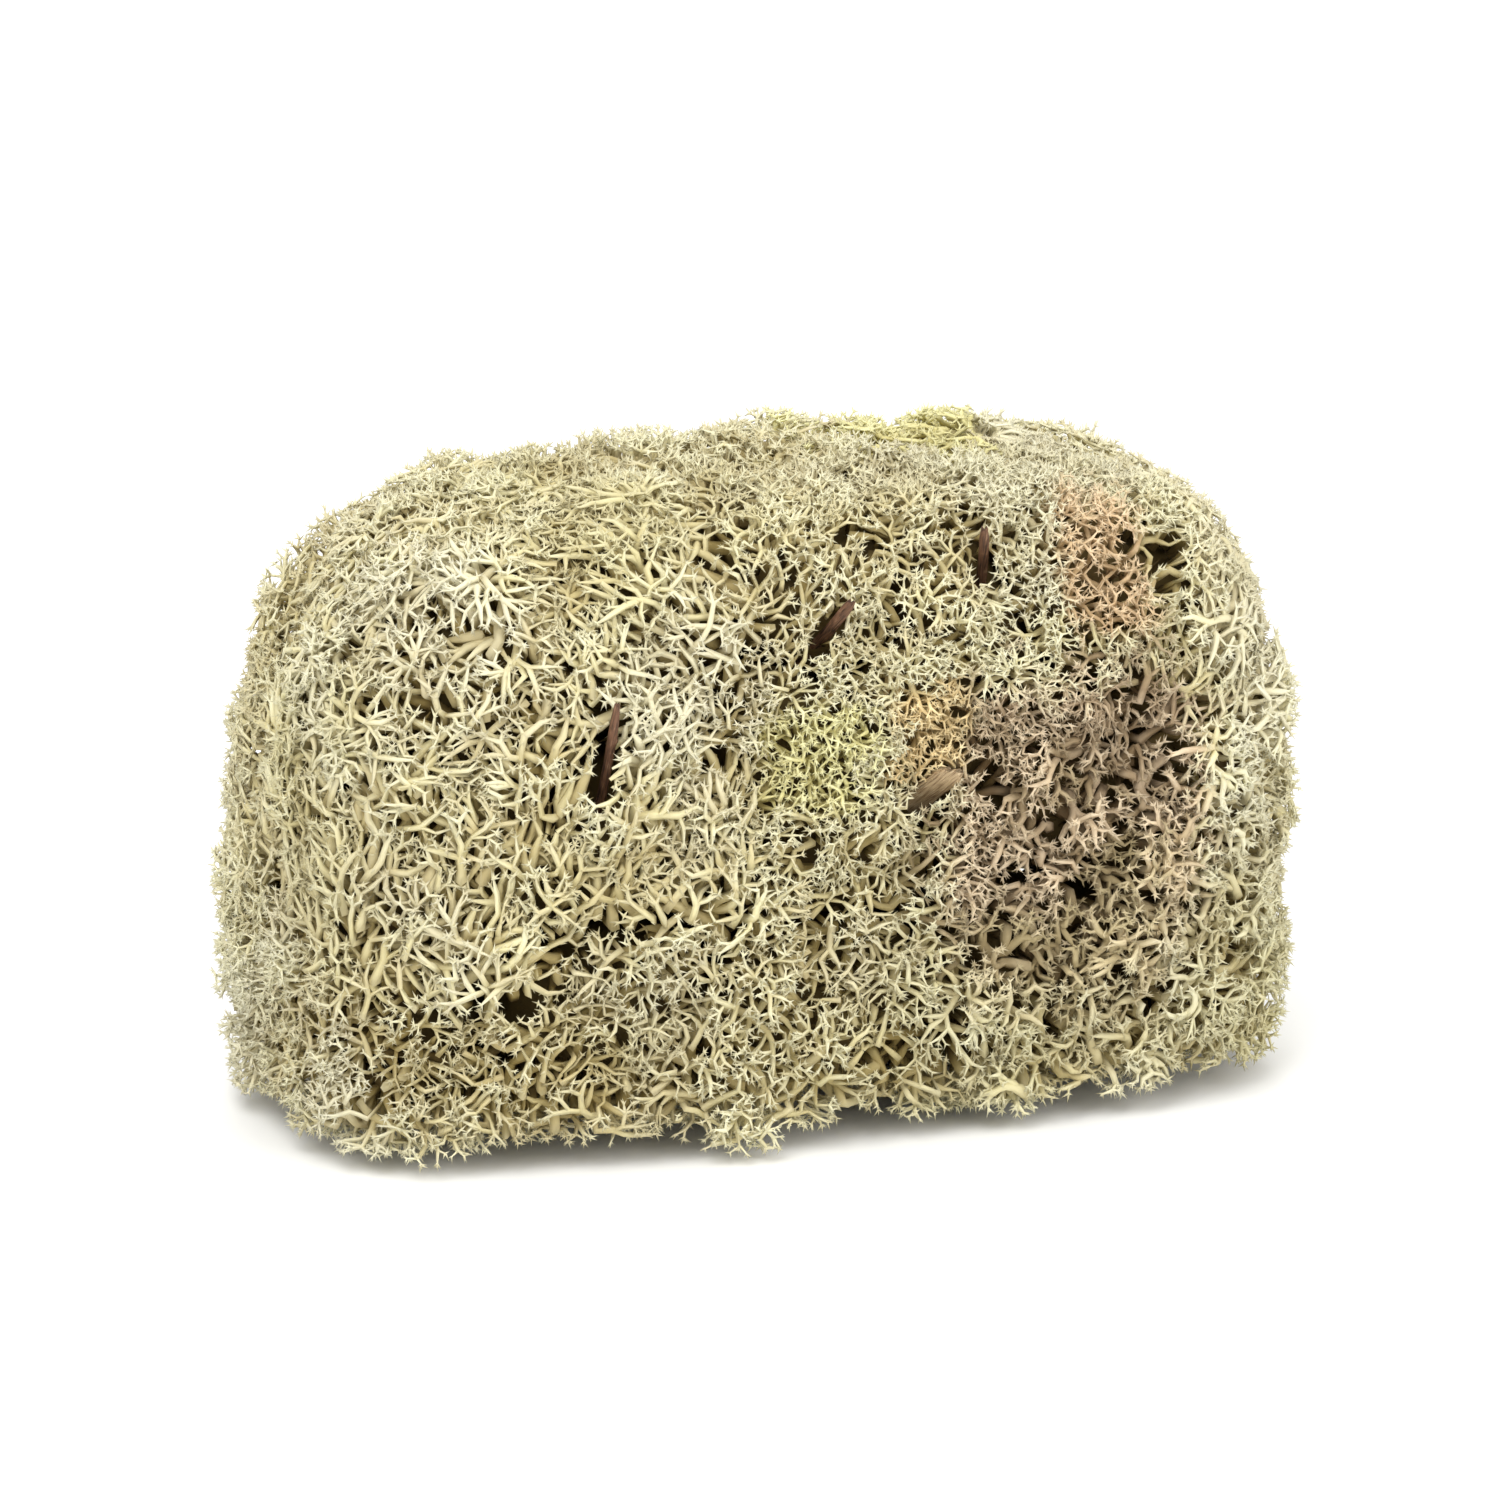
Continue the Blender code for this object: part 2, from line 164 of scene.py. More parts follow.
class Graph:
    def __init__(self, tree):
        self.tree = tree

    def add(self, kind, settings=None, inputs=None, output=0):
        node = self.tree.nodes.new(kind)
        for name, value in (settings or {}).items():
            setattr(node, name, value)
        for name, value in (inputs or {}).items():
            if isinstance(value, Value):
                self.tree.links.new(value.socket, node.inputs[name])
            else:
                node.inputs[name].default_value = value
        return Value(self, node.outputs[output])

    def mix(self, share, first, second):
        inputs = {0: share, 6: opaque(first), 7: opaque(second)}
        return self.add("ShaderNodeMix", {"data_type": "RGBA"}, inputs, 2)

    def attribute(self, name):
        return self.add("ShaderNodeAttribute", {"attribute_name": name}, output="Fac")

    def noise(self, coords, scale, detail=2.0, roughness=0.5):
        sizes = {"Vector": coords, "Scale": scale, "Detail": detail, "Roughness": roughness}
        return self.add("ShaderNodeTexNoise", {}, sizes)

    def steps(self, value, low, high):
        # 0 below low, 1 above high, and smooth between them
        sizes = {0: value, 1: low, 2: high, 3: 0.0, 4: 1.0}
        return self.add("ShaderNodeMapRange", {"interpolation_type": "SMOOTHSTEP"}, sizes)


def opaque(colour):
    return colour if isinstance(colour, Value) else (*colour, 1.0)


def newLook(name):
    # A material with its graph, its shader and its object coordinates
    look = bpy.data.materials.new(name)
    look.use_nodes = True
    graph = Graph(look.node_tree)
    shader = look.node_tree.nodes["Principled BSDF"]
    coords = graph.add("ShaderNodeTexCoord", output="Object")
    return look, graph, shader, coords


def feed(shader, name, value):
    value.graph.tree.links.new(value.socket, shader.inputs[name])


# Lichen: colours from old stems to fresh tips, and a painted shade colour, darker and browner, for where
# the light doesn't reach

lichenLooks = {
    # each look's deep is the painted shade colour that its branches turn to deep below the outline
    "pale lichen": {
        "stem": (0.74, 0.67, 0.43), "young": (0.75, 0.69, 0.41), "tip": (0.79, 0.755, 0.53),
        "stain": (0.54, 0.42, 0.20), "stainShare": 0.4, "deep": (0.38, 0.285, 0.095),
    },
    "yellow-green lichen": {
        "stem": (0.76, 0.69, 0.42), "young": (0.80, 0.75, 0.37), "tip": (0.85, 0.82, 0.48),
        "stain": (0.60, 0.52, 0.21), "stainShare": 0.3, "deep": (0.46, 0.38, 0.13),
    },
    "golden lichen": {
        "stem": (0.76, 0.62, 0.38), "young": (0.76, 0.59, 0.30), "tip": (0.86, 0.70, 0.40),
        "stain": (0.52, 0.36, 0.16), "stainShare": 0.4, "deep": (0.34, 0.225, 0.075),
    },
    "tan lichen": {
        "stem": (0.74, 0.575, 0.36), "young": (0.74, 0.545, 0.32), "tip": (0.84, 0.665, 0.44),
        "stain": (0.50, 0.33, 0.16), "stainShare": 0.5, "deep": (0.27, 0.17, 0.065),
    },
    "dead lichen": {
        "stem": (0.72, 0.575, 0.40), "young": (0.66, 0.51, 0.33), "tip": (0.79, 0.655, 0.46),
        "stain": (0.25, 0.165, 0.085), "stainShare": 0.72, "deep": (0.12, 0.072, 0.025),
    },
}
lichenPatches = {
    # where each other colour is full on the front tufts: its middle and its half widths
    "yellow-green lichen": ((-0.004, -0.03, 0.0465), (0.0068, 0.016, 0.0062)),
    "golden lichen": ((0.0085, -0.03, 0.048), (0.005, 0.016, 0.0062)),
    "tan lichen": ((0.0325, -0.03, 0.0665), (0.006, 0.016, 0.009)),
    "dead lichen": ((0.0275, -0.02, 0.0345), (0.0175, 0.036, 0.02)),
}
patchEdge = {
    "none": 1.15,  # where a patch ends, in its half widths
    "blur": 0.3,
    "mottle": 1.2,  # how much single branches differ
}
lichen = {
    # noise scales, per metre
    "patch": 55.0,
    "green": 26.0,
    "bleach": 34.0,
    "fleck": 420.0,
    "felt": 1900.0,
    # where each colour starts to show, and where it is full
    "youngAt": (0.1, 0.6),
    "tipAt": (0.55, 1.0),
    "stainAt": (0.6, 0.95),
    "greenAt": (0.50, 0.72),
    "bleachAt": (0.52, 0.68),
    # painted shade: by shade, where the painted shade colour starts and is full, and then where the
    # near-black is
    "deepAt": (0.28, 0.98),
    "deepestAt": (0.75, 0.95),
    "greener": (0.56, 0.51, 0.25),
    "greenShare": 0.45,
    "bleached": (0.79, 0.76, 0.60),
    "bleachShare": 0.55,
    # painted shade: the near-black colour painted where nothing can be seen
    "deepest": (0.120, 0.082, 0.026),
    "feltHeight": 0.00006,
    "roughness": 0.82,
    "sheen": 0.25,
}
roughnessRange = 0.2


def roughnessAround(noise, middle):
    return noise * roughnessRange + (middle - roughnessRange / 2)


def lichenColour(graph, colours, age, spots):
    colour = graph.mix(graph.steps(age, *lichen["youngAt"]), colours["stem"], colours["young"])
    colour = graph.mix(graph.steps(age, *lichen["tipAt"]), colour, colours["tip"])
    return graph.mix(spots * colours["stainShare"], colour, colours["stain"])


def makeLichenLook(name):
    colours = lichenLooks[name]
    look, graph, shader, coords = newLook(name)
    age = graph.attribute("age")
    tone = graph.attribute("tone")
    shade = graph.attribute("shade")
    patch = graph.noise(coords, lichen["patch"])
    fleck = graph.noise(coords, lichen["fleck"], 3.0)
    felt = graph.noise(coords, lichen["felt"], 3.0, 0.6)
    spots = graph.steps(patch * 0.5 + fleck * 0.6 + tone * 0.35, *lichen["stainAt"])
    pale, dead = lichenLooks["pale lichen"], lichenLooks["dead lichen"]
    died = graph.attribute("died")
    bleach = graph.noise(coords, lichen["bleach"]) + tone * 0.1
    bleach = graph.steps(bleach, *lichen["bleachAt"])
    colour = lichenColour(graph, pale, age, spots)
    colour = graph.mix(bleach * lichen["bleachShare"], colour, lichen["bleached"])
    colour = graph.mix(died, colour, lichenColour(graph, dead, age, spots))
    # the painted shade colour, browner under dead branches
    deep = graph.mix(died, pale["deep"], dead["deep"])
    if name not in ("pale lichen", "dead lichen"):
        own = graph.attribute("patch")
        colour = graph.mix(own, colour, lichenColour(graph, colours, age, spots))
        deep = graph.mix(own, deep, colours["deep"])
    green = graph.steps(graph.noise(coords, lichen["green"]) + tone * 0.1, *lichen["greenAt"])
    colour = graph.mix(green * lichen["greenShare"], colour, lichen["greener"])
    # painted shade: darker with depth below the outline, near-black where nothing can be seen
    colour = graph.mix(graph.steps(shade + fleck * 0.15, *lichen["deepAt"]), colour, deep)
    colour = graph.mix(graph.steps(shade, *lichen["deepestAt"]), colour, lichen["deepest"])
    feed(shader, "Base Color", colour)
    feed(shader, "Roughness", roughnessAround(felt, lichen["roughness"]))
    bump = graph.add("ShaderNodeBump", {}, {"Height": felt, "Distance": lichen["feltHeight"]})
    feed(shader, "Normal", bump)
    shader.inputs["Specular IOR Level"].default_value = lichen["sheen"]
    return look


# The block that the clump was pressed into, and the tufts that share it

block = {
    "width": 0.1275,
    "depth": 0.0635,
    "height": 0.0775,
    "squareness": 3.5,  # 2 is an ellipsoid, and more is closer to a box
    "front": -0.0050,  # tufts that grow from before this are front tufts
    "widestAt": 0.0270,
    "floorBlend": 0.0015,  # how softly the way out turns down near the floor
    "fullShadeDepth": 0.0090,  # the depth at which the painted shade is darkest
    "pressedTo": 0.0001,  # the lowest tips, above the floor
    "skin": 0.0005,  # the branches' middle lines stay this far inside
    "headGap": 0.0085,  # between the rounded heads of branches
    "headDome": 0.0030,  # how far a head falls away, one gap from its middle
    "headSink": 0.0014,  # the lowest heads lie this far in
    "headDepths": (0.0, 0.0020),
    "headReach": 0.8,  # in gaps from its middle, where it falls no further
}
tuftSeeds = {
    "tuft_base_middle": (0.0, 0.0, 0.011),
    "tuft_base_left": (-0.044, 0.001, 0.013),
    "tuft_base_right": (0.045, -0.001, 0.013),
    "tuft_base_front": (0.001, -0.015, 0.014),
    "tuft_base_back": (-0.001, 0.015, 0.014),
    "tuft_base_front_left": (-0.023, -0.01, 0.013),
    "tuft_base_front_right": (0.024, -0.01, 0.013),
    "tuft_base_back_left": (-0.024, 0.01, 0.013),
    "tuft_base_back_right": (0.022, 0.01, 0.013),
    "tuft_middle_front_1": (-0.042, -0.0085, 0.035),
    "tuft_middle_front_2": (-0.019, -0.009, 0.037),
    "tuft_middle_front_3": (0.002, -0.009, 0.031),
    "tuft_middle_front_4": (0.027, -0.009, 0.039),
    "tuft_middle_front_5": (0.044, -0.008, 0.035),
    "tuft_top_front_1": (-0.041, -0.008, 0.054),
    "tuft_top_front_2": (-0.02, -0.0085, 0.057),
    "tuft_top_front_3": (0.001, -0.0085, 0.057),
    "tuft_top_front_4": (0.019, -0.009, 0.056),
    "tuft_top_front_5": (0.041, -0.0085, 0.052),
    "tuft_middle_back_1": (-0.043, 0.008, 0.033),
    "tuft_middle_back_2": (-0.024, 0.009, 0.038),
    "tuft_middle_back_3": (0.004, 0.009, 0.035),
    "tuft_middle_back_4": (0.023, 0.009, 0.036),
    "tuft_middle_back_5": (0.043, 0.0085, 0.036),
    "tuft_top_back_1": (-0.04, 0.008, 0.052),
    "tuft_top_back_2": (-0.018, 0.008, 0.056),
    "tuft_top_back_3": (0.001, 0.0085, 0.054),
    "tuft_top_back_4": (0.021, 0.0085, 0.057),
    "tuft_top_back_5": (0.041, 0.008, 0.053),
    "tuft_small_green": (-0.004, -0.013, 0.0455),
    "tuft_small_golden": (0.0115, -0.0135, 0.0475),
    "tuft_small_tan": (0.0315, -0.013, 0.0625),
}
tuftNames = list(tuftSeeds)
seedPoints = np.array([tuftSeeds[name] for name in tuftNames])
slotOf = {entry["node"]: entry["material_slot"] for entry in frame["record"]["subparts"]}

halfSizes = np.array([block["width"] / 2, block["depth"] / 2, block["height"] - block["widestAt"]])
blockMiddle = np.array([0.0, 0.0, block["widestAt"]])


def unit(vectors):
    return vectors / np.maximum(np.linalg.norm(vectors, axis=-1, keepdims=True), 1e-12)


def outlineAt(points):
    # The depth of points below the outline and the floor, and the way out
    share = np.abs(points - blockMiddle) / halfSizes
    power = block["squareness"]
    full = np.maximum((share**power).sum(axis=1) ** (1 / power), 1e-6)[:, None]
    slope = np.sign(points - blockMiddle) * (share / full) ** (power - 1) / halfSizes
    steep = np.linalg.norm(slope, axis=1)
    depth = (1 - full[:, 0]) / np.maximum(steep, 1e-6)
    out = slope / np.maximum(steep, 1e-6)[:, None]
    floorDepth = points[:, 2]
    nearer = 1 / (1 + np.exp((floorDepth - depth) / block["floorBlend"]))  # 1 where the floor is nearer
    out = unit(out * (1 - nearer)[:, None] + np.array([0, 0, -1.0]) * nearer[:, None])
    return np.minimum(depth, floorDepth), out


def pressedIn(points, floors):
    # Points moved back inside the outline
    for _ in range(2):
        depth, _out = outlineAt(points)
        lack = np.maximum(floors - depth, 0)
        away = np.linalg.norm(points - blockMiddle, axis=1)
        pull = 1 - np.minimum(lack / np.maximum(away, 1e-6), 0.5)
        points = blockMiddle + (points - blockMiddle) * pull[:, None]
        points[:, 2] = np.maximum(points[:, 2], block["skin"])
    return points


# How each tuft grows: from a heart of matted old stems, outwards in forked branches

heart = {
    "depth": 0.0085,
    "rough": 0.0009,
    "gap": 0.0003,
    "rounding": 10,
    "least": 0.0035,
    "above": 0.0040,  # the floor
    "fineness": 2,
}

habits = {
    # Shares of the common length, stoutness, curl, turn outwards, gap and depth of stems below the tips
    "dense": (0.92, 0.92, 0.90, 1.00, 0.88, 1.10),
    "common": (1.00, 1.00, 1.00, 0.90, 1.00, 0.90),
    "open": (1.20, 1.18, 0.80, 0.75, 1.00, 0.82),
    "upright": (1.20, 1.32, 0.60, 0.50, 1.02, 0.62),
    "fan": (1.25, 1.20, 0.55, 0.60, 1.02, 0.66),
    "withered": (0.75, 1.22, 2.40, 0.90, 0.95, 0.60),
    "head": (0.82, 0.80, 0.80, 1.10, 0.80, 1.00),
}
leans = {"open": (-0.5, 0, 0.3), "upright": (0, 0, 0.9), "fan": (0.6, 0, 0.5)}
habitTufts = {
    # tufts with a habit of their own
    "upright": ("tuft_middle_front_1", "tuft_middle_front_2"),
    "open": ("tuft_top_front_1", "tuft_top_front_2", "tuft_top_back_5"),
    "dense": (
        "tuft_top_front_3", "tuft_top_front_4", "tuft_top_back_2", "tuft_middle_back_4", "tuft_base_left",
    ),
    "fan": ("tuft_top_front_5",),
    "withered": ("tuft_middle_front_4", "tuft_middle_front_5", "tuft_base_front_right"),
    "head": ("tuft_small_green", "tuft_small_golden", "tuft_small_tan"),
}
habitOf = {tuft: habit for habit, tufts in habitTufts.items() for tuft in tufts}
growth = {
    "seed": 11,
    "rootDepths": (0.0055, 0.0098),
    "rootGap": 0.0050,
    "tries": 26000,
    "lengths": (0.0029, 0.0027, 0.0024, 0.0020, 0.0016, 0.0012),  # of each order of branches
    "radii": (0.00076, 0.00062, 0.00049, 0.00038, 0.00030, 0.00024, 0.00019),
    "knuckle": 1.22,  # branches are this much thicker where they fork
    "covers": (0.0042, 0.0030, 0.0020, 0.0011, 0.0004, 0.0),  # how far each order stays below the tips
    "steps": (2, 2, 2, 2, 1, 1),
    "gaps": (0.0032, 0.0023, 0.0016, 0.0013, 0.0011, 0.0009),
    "kinds": (1, 1, 2, 3, 3, 3),  # stems, branches and twigs, by the order where they start
    "voids": (None, 0.0026, 0.0020, 0.0016, None, None),  # places this free get a late stem
    "forks": (0.28, 0.50, 0.22),  # how often a branch forks in two, three or four
    "mainAngles": (14, 38),
    "sideAngles": (36, 68),
    "wander": 0.30,
    "lean": 0.24,
    "choices": 4,
    "enough": 1.2,  # free room beyond this many lengths counts no more
    "forkTurn": 0.4,
    "intrusion": 0.0020,  # how far a branch may reach into its neighbour
    "forkDepth": 0.0026,  # from the fourth order on, deeper ends than this don't fork
    "lateDepths": (0.0022, 0.0095),
    "lengthRange": (0.8, 1.2),
    "mainStretch": 1.1,  # of the branch that carries its parent on
    "sideStretch": (0.7, 1.0),
    "sideStout": 0.86,
    "toneWander": 0.08,
    "footTurn": 0.35,
    "footSunk": 0.001,  # into the heart
    "liftDepth": 0.0025,  # further below its level than this, a branch turns outwards fully
    "bendDepth": 0.0015,  # and nearer than this it starts to bend
    "straightness": 0.25,
    "beyond": 0.001,
    "crowding": 6.0,  # how strongly branches keep clear of the scraps
    "reach": 0.8,
    "endGaps": (0.72, 0.8),  # shares of a gap, to older branches and to new ones
    "lastTaper": 0.5,
}
tips = {"depth": 0.0065, "thinnest": 0.00020, "thickest": 0.00034, "outward": 0.4, "age": 0.85}
spurs = {
    "depth": 0.0045, "share": 0.50, "thickness": 0.00020, "forward": 0.4, "outward": 0.7, "age": 0.75,
    "sunk": 0.6,  # of the branch's radius is where they start
}

habitTable = np.array([habits[habitOf.get(tuft, "common")] for tuft in tuftNames])
lengthOf, stoutOf, curlOf, liftOf, gapOf, coverOf = habitTable.T
leanOf = np.array([leans.get(habitOf.get(tuft), (0, 0, 0)) for tuft in tuftNames], float)


def nearestTuft(points):
    apart = np.linalg.norm(points[:, None, :] - seedPoints[None, :, :], axis=2)
    return apart.argmin(axis=1), apart


def treeOf(points):
    tree = KDTree(len(points))
    for number, point in enumerate(points):
        tree.insert(point, number)
    tree.balance()
    return tree


def distances(tree, points):
    return np.array([tree.find(point)[2] for point in points])


def freeSpots(rng, depths, gap, taken):
    # Spots between two depths, at least gap from each other and from what is taken
    spots = (rng.random((growth["tries"], 3)) - 0.5) * [block["width"], block["depth"], 0]
    spots[:, 2] = rng.random(len(spots)) * block["height"]
    depth, out = outlineAt(spots)
    fits = (depth > depths[0]) & (depth < depths[1])
    if len(taken):
        fits[fits] = distances(treeOf(taken), spots[fits]) > gap
    spots, out, depth = spots[fits], out[fits], depth[fits]
    tufts, _apart = nearestTuft(spots)
    free = sift(spots, gap * gapOf[tufts], gap)
    return spots[free], out[free], depth[free], tufts[free]


def sift(spots, gaps, cell):
    # Which spots can stay, taken in their order, if each keeps its gap to those before it
    free = np.zeros(len(spots), bool)
    cells = {}
    places = np.floor(spots / cell).astype(int)
    around = range(-1, 2)
    for number, (x, y, z) in enumerate(places):
        near = [
            other for dx in around for dy in around for dz in around
            for other in cells.get((x + dx, y + dy, z + dz), ())
        ]
        if near and np.linalg.norm(spots[near] - spots[number], axis=1).min() < gaps[number]:
            continue
        cells.setdefault((x, y, z), []).append(number)
        free[number] = True
    return free


def makeHeads(rng):
    # The middles of the rounded heads that the surface is made of, and how far each is sunk
    spots, _out, _depth, _tufts = freeSpots(rng, block["headDepths"], block["headGap"], [])
    return treeOf(spots), rng.random(len(spots)) * block["headSink"]


def floorAt(points, tufts, order):
    # How deep a branch of one order has to stay
    heads, sinks = headLayout
    found = [heads.find(point) for point in points]
    away = np.array([hit[2] for hit in found]) / block["headGap"]
    sink = sinks[[hit[1] for hit in found]] + block["headDome"] * np.minimum(away, block["headReach"]) ** 2
    return block["skin"] + sink + growth["covers"][order] * coverOf[tufts]


def anyAcross(axes, rng):
    return unit(np.cross(axes, rng.normal(size=axes.shape)))


def spread(axes, across, angles, turns):
    # Directions at angles from axes, turned round them
    second = np.cross(axes, across)
    sideways = across * np.cos(turns)[:, None] + second * np.sin(turns)[:, None]
    return unit(axes * np.cos(angles)[:, None] + sideways * np.sin(angles)[:, None])


def bestSteps(branches, lengths, floors, taken, rng):
    # The freest of a few ways on, bent along the surface where they would leave the block
    spots, aims, tufts = branches["spot"], branches["aim"], branches["tuft"]
    depth, out = outlineAt(spots)
    below = np.clip((depth - floors) / growth["liftDepth"], 0, 1)
    rise = out * (liftOf[tufts] * below)[:, None] + leanOf[tufts] * growth["lean"]
    best = None
    for _ in range(growth["choices"]):
        wander = rng.normal(size=aims.shape) * (growth["wander"] * curlOf[tufts])[:, None]
        ways = unit(aims + wander + rise)
        endDepth, endOut = outlineAt(spots + ways * lengths[:, None])
        outward = np.maximum((ways * endOut).sum(axis=1), 0)
        flat = np.clip(1 - (endDepth - floors) / growth["bendDepth"], 0, 1) * outward
        ways = unit(ways - endOut * flat[:, None])
        ends = pressedIn(spots + ways * lengths[:, None], floors)
        room = np.minimum(distances(taken, ends), lengths * growth["enough"])
        _nearest, apart = nearestTuft(ends)
        own = apart[np.arange(len(ends)), tufts]
        beyond = np.maximum((own - apart.min(axis=1)) - growth["intrusion"], 0)
        crowded = np.maximum(1 - distances(scrapTree, ends) / scrapRoom["radius"], 0)
        score = room / lengths + growth["straightness"] * (ways * aims).sum(axis=1)
        score = score - beyond / growth["beyond"] - crowded * growth["crowding"]
        if best is None:
            best = [score, ends]
        else:
            better = score > best[0]
            best[0] = np.where(better, score, best[0])
            best[1] = np.where(better[:, None], ends, best[1])
    return best[1]


def fork(spots, aims, rng):
    # The parent and the direction of every new branch, and whether it carries its parent on
    count = rng.choice([2, 3, 4], size=len(spots), p=growth["forks"])
    parents = np.repeat(np.arange(len(spots)), count)
    place = np.concatenate([np.arange(number) for number in count]) if len(count) else parents
    across = anyAcross(aims, rng)[parents]
    most = growth["forkTurn"]
    turns = 2 * np.pi * place / count[parents] + rng.uniform(-most, most, len(parents))
    main = place == 0
    share = rng.random(len(parents))
    ranges = (growth["mainAngles"], growth["sideAngles"])
    narrow, wide = (low + (high - low) * share for low, high in ranges)
    angles = np.radians(np.where(main, narrow, wide))
    return parents, spread(aims[parents], across, angles, turns), main


def newStems(rng, order, gap, depths, chains, taken):
    # Stems that start on the hearts and reach to free spots
    spots, out, depth, tufts = freeSpots(rng, depths, gap, taken)
    radius = growth["radii"][order] * stoutOf[tufts]
    turn = rng.normal(size=out.shape) * growth["footTurn"]
    stems = {
        "spot": spots, "aim": unit(out + leanOf[tufts] + turn), "tuft": tufts,
        "chain": np.arange(len(spots)) + chains, "tone": rng.random(len(spots)), "radius": radius,
        "kind": np.full(len(spots), growth["kinds"][order]), "scale": np.ones(len(spots)),
    }
    feet = spots - out * np.maximum(heart["depth"] + growth["footSunk"] - depth, 0)[:, None]
    return stems, feet


def noted(branches, spots, when, age):
    # What the middle lines need to know of each branch at one spot
    count = len(spots)
    return {
        "chain": branches["chain"], "when": np.full(count, when), "spot": spots, "tuft": branches["tuft"],
        "thickness": branches["radius"], "tone": branches["tone"], "age": np.full(count, age),
        "kind": branches["kind"],
    }


def picked(branches, which):
    return {key: values[which] for key, values in branches.items()}


def gathered(parts):
    return {key: np.concatenate([part[key] for part in parts]) for key in parts[0]}


def growAll():
    rng = np.random.default_rng(growth["seed"])
    orders = len(growth["lengths"])
    taken = keepClear()
    branches, feet = newStems(rng, 0, growth["rootGap"], growth["rootDepths"], 0, taken)
    lines = [noted(branches, feet, -1, 0.0), noted(branches, branches["spot"], 0, 0.0)]
    chains = len(feet)
    prongs = []
    for order in range(orders):
        steps = growth["steps"][order]
        tufts = branches["tuft"]
        lengths = growth["lengths"][order] / steps * lengthOf[tufts] * branches["scale"]
        lengths = lengths * rng.uniform(*growth["lengthRange"], len(tufts))
        thick = branches["radius"]
        thin = growth["radii"][order + 1] * stoutOf[tufts]
        for step in range(1, steps + 1):
            floors = floorAt(branches["spot"], tufts, order)
            ends = bestSteps(branches, lengths, floors, treeOf(taken), rng)
            branches["aim"] = unit(ends - branches["spot"])
            branches["spot"] = ends
            branches["radius"] = thick + (thin - thick) * step / steps
            lines.append(noted(branches, ends, order * 10 + step, (order + step / steps) / orders))
            if step == steps:
                lines[-1]["thickness"] = branches["radius"] * growth["knuckle"]
            taken = np.vstack([taken, ends])
            if order > 0:
                prongs.append(sideSpurs(branches, rng))
        print("order", order, "has", len(tufts), "branches")
        if order == orders - 1:
            prongs.append(endWhorls(branches))
            break
        parents, aims, main = fork(branches["spot"], branches["aim"], rng)
        reach = growth["lengths"][order + 1] * lengthOf[tufts[parents]] * growth["reach"]
        ends = branches["spot"][parents] + aims * reach[:, None]
        floors = floorAt(ends, tufts[parents], order + 1)
        ends = pressedIn(ends, floors)
        free = freeEnds(ends, tufts[parents], growth["gaps"][order + 1], taken, rng)
        free &= distances(scrapTree, ends) > scrapRoom["least"]
        if order > 1:
            free &= main | (outlineAt(ends)[0] - floors < growth["forkDepth"])
        ending = np.ones(len(tufts), bool)
        ending[parents[free]] = False
        prongs.append(endWhorls(picked(branches, ending)))
        parents, aims, main = parents[free], aims[free], main[free]
        young = picked(branches, parents)
        young["aim"] = aims
        young["chain"] = np.where(main, young["chain"], chains + np.arange(len(parents)))
        young["kind"] = np.where(main, young["kind"], growth["kinds"][order + 1])
        young["tone"] = np.clip(young["tone"] + rng.normal(size=len(parents)) * growth["toneWander"], 0, 1)
        young["radius"] = young["radius"] * np.where(main, 1.0, growth["sideStout"])
        stretch = rng.uniform(*growth["sideStretch"], len(main))
        young["scale"] = np.where(main, growth["mainStretch"], stretch)
        side = picked(young, ~main)
        lines.append(noted(side, side["spot"], order * 10 + 10, (order + 1) / orders))
        chains += len(parents)
        branches = young
        gap = growth["voids"][order + 1]
        if gap:
            shallow, far = growth["lateDepths"]
            late, feet = newStems(rng, order + 1, gap, (shallow + gap, far), chains, taken)
            lines.append(noted(late, feet, order * 10 + 9, 0.1))
            lines.append(noted(late, late["spot"], order * 10 + 10, 0.2))
            chains += len(feet)
            taken = np.vstack([taken, late["spot"]])
            branches = gathered([young, late])
    return gathered(lines), gathered(prongs)


def freeEnds(ends, tufts, gap, taken, rng):
    # Which new branches find room, tried in a random order
    gaps = gap * gapOf[tufts]
    order = rng.permutation(len(ends))
    toOlder, toOthers = growth["endGaps"]
    order = order[distances(treeOf(taken), ends[order]) > gaps[order] * toOlder]
    free = np.zeros(len(ends), bool)
    free[order[sift(ends[order], gaps[order] * toOthers, gap)]] = True
    return free


def shownOf(branches, deepest):
    # Which branches can be seen at all, and aren't in a scrap's way
    depth, out = outlineAt(branches["spot"])
    return (depth < deepest) & (distances(scrapTree, branches["spot"]) > scrapRoom["least"]), out


def prongsAt(shown, spots, aims, thickness, age, kind):
    count = len(spots)
    return {
        "spot": spots, "aim": aims, "tuft": shown["tuft"], "tone": shown["tone"],
        "thickness": np.full(count, thickness), "age": np.full(count, age), "kind": np.full(count, kind),
    }


def endWhorls(branches):
    which, out = shownOf(branches, tips["depth"])
    shown = picked(branches, which)
    aims = unit(shown["aim"] + out[which] * tips["outward"])
    thickness = np.clip(shown["radius"], tips["thinnest"], tips["thickest"])
    return prongsAt(shown, shown["spot"], aims, thickness, tips["age"], 4)


def sideSpurs(branches, rng):
    # Short prongs on the sides of the branches
    chosen = rng.random(len(branches["tuft"])) < spurs["share"]
    which, out = shownOf(branches, spurs["depth"])
    which &= chosen
    shown = picked(branches, which)
    across = anyAcross(shown["aim"], rng)
    aims = unit(across + shown["aim"] * spurs["forward"] + out[which] * spurs["outward"])
    spots = shown["spot"] + aims * shown["radius"][:, None] * spurs["sunk"]
    return prongsAt(shown, spots, aims, spurs["thickness"], spurs["age"], 5)


# Scraps of wood and bark caught in the lichen, from the outer to the inner end

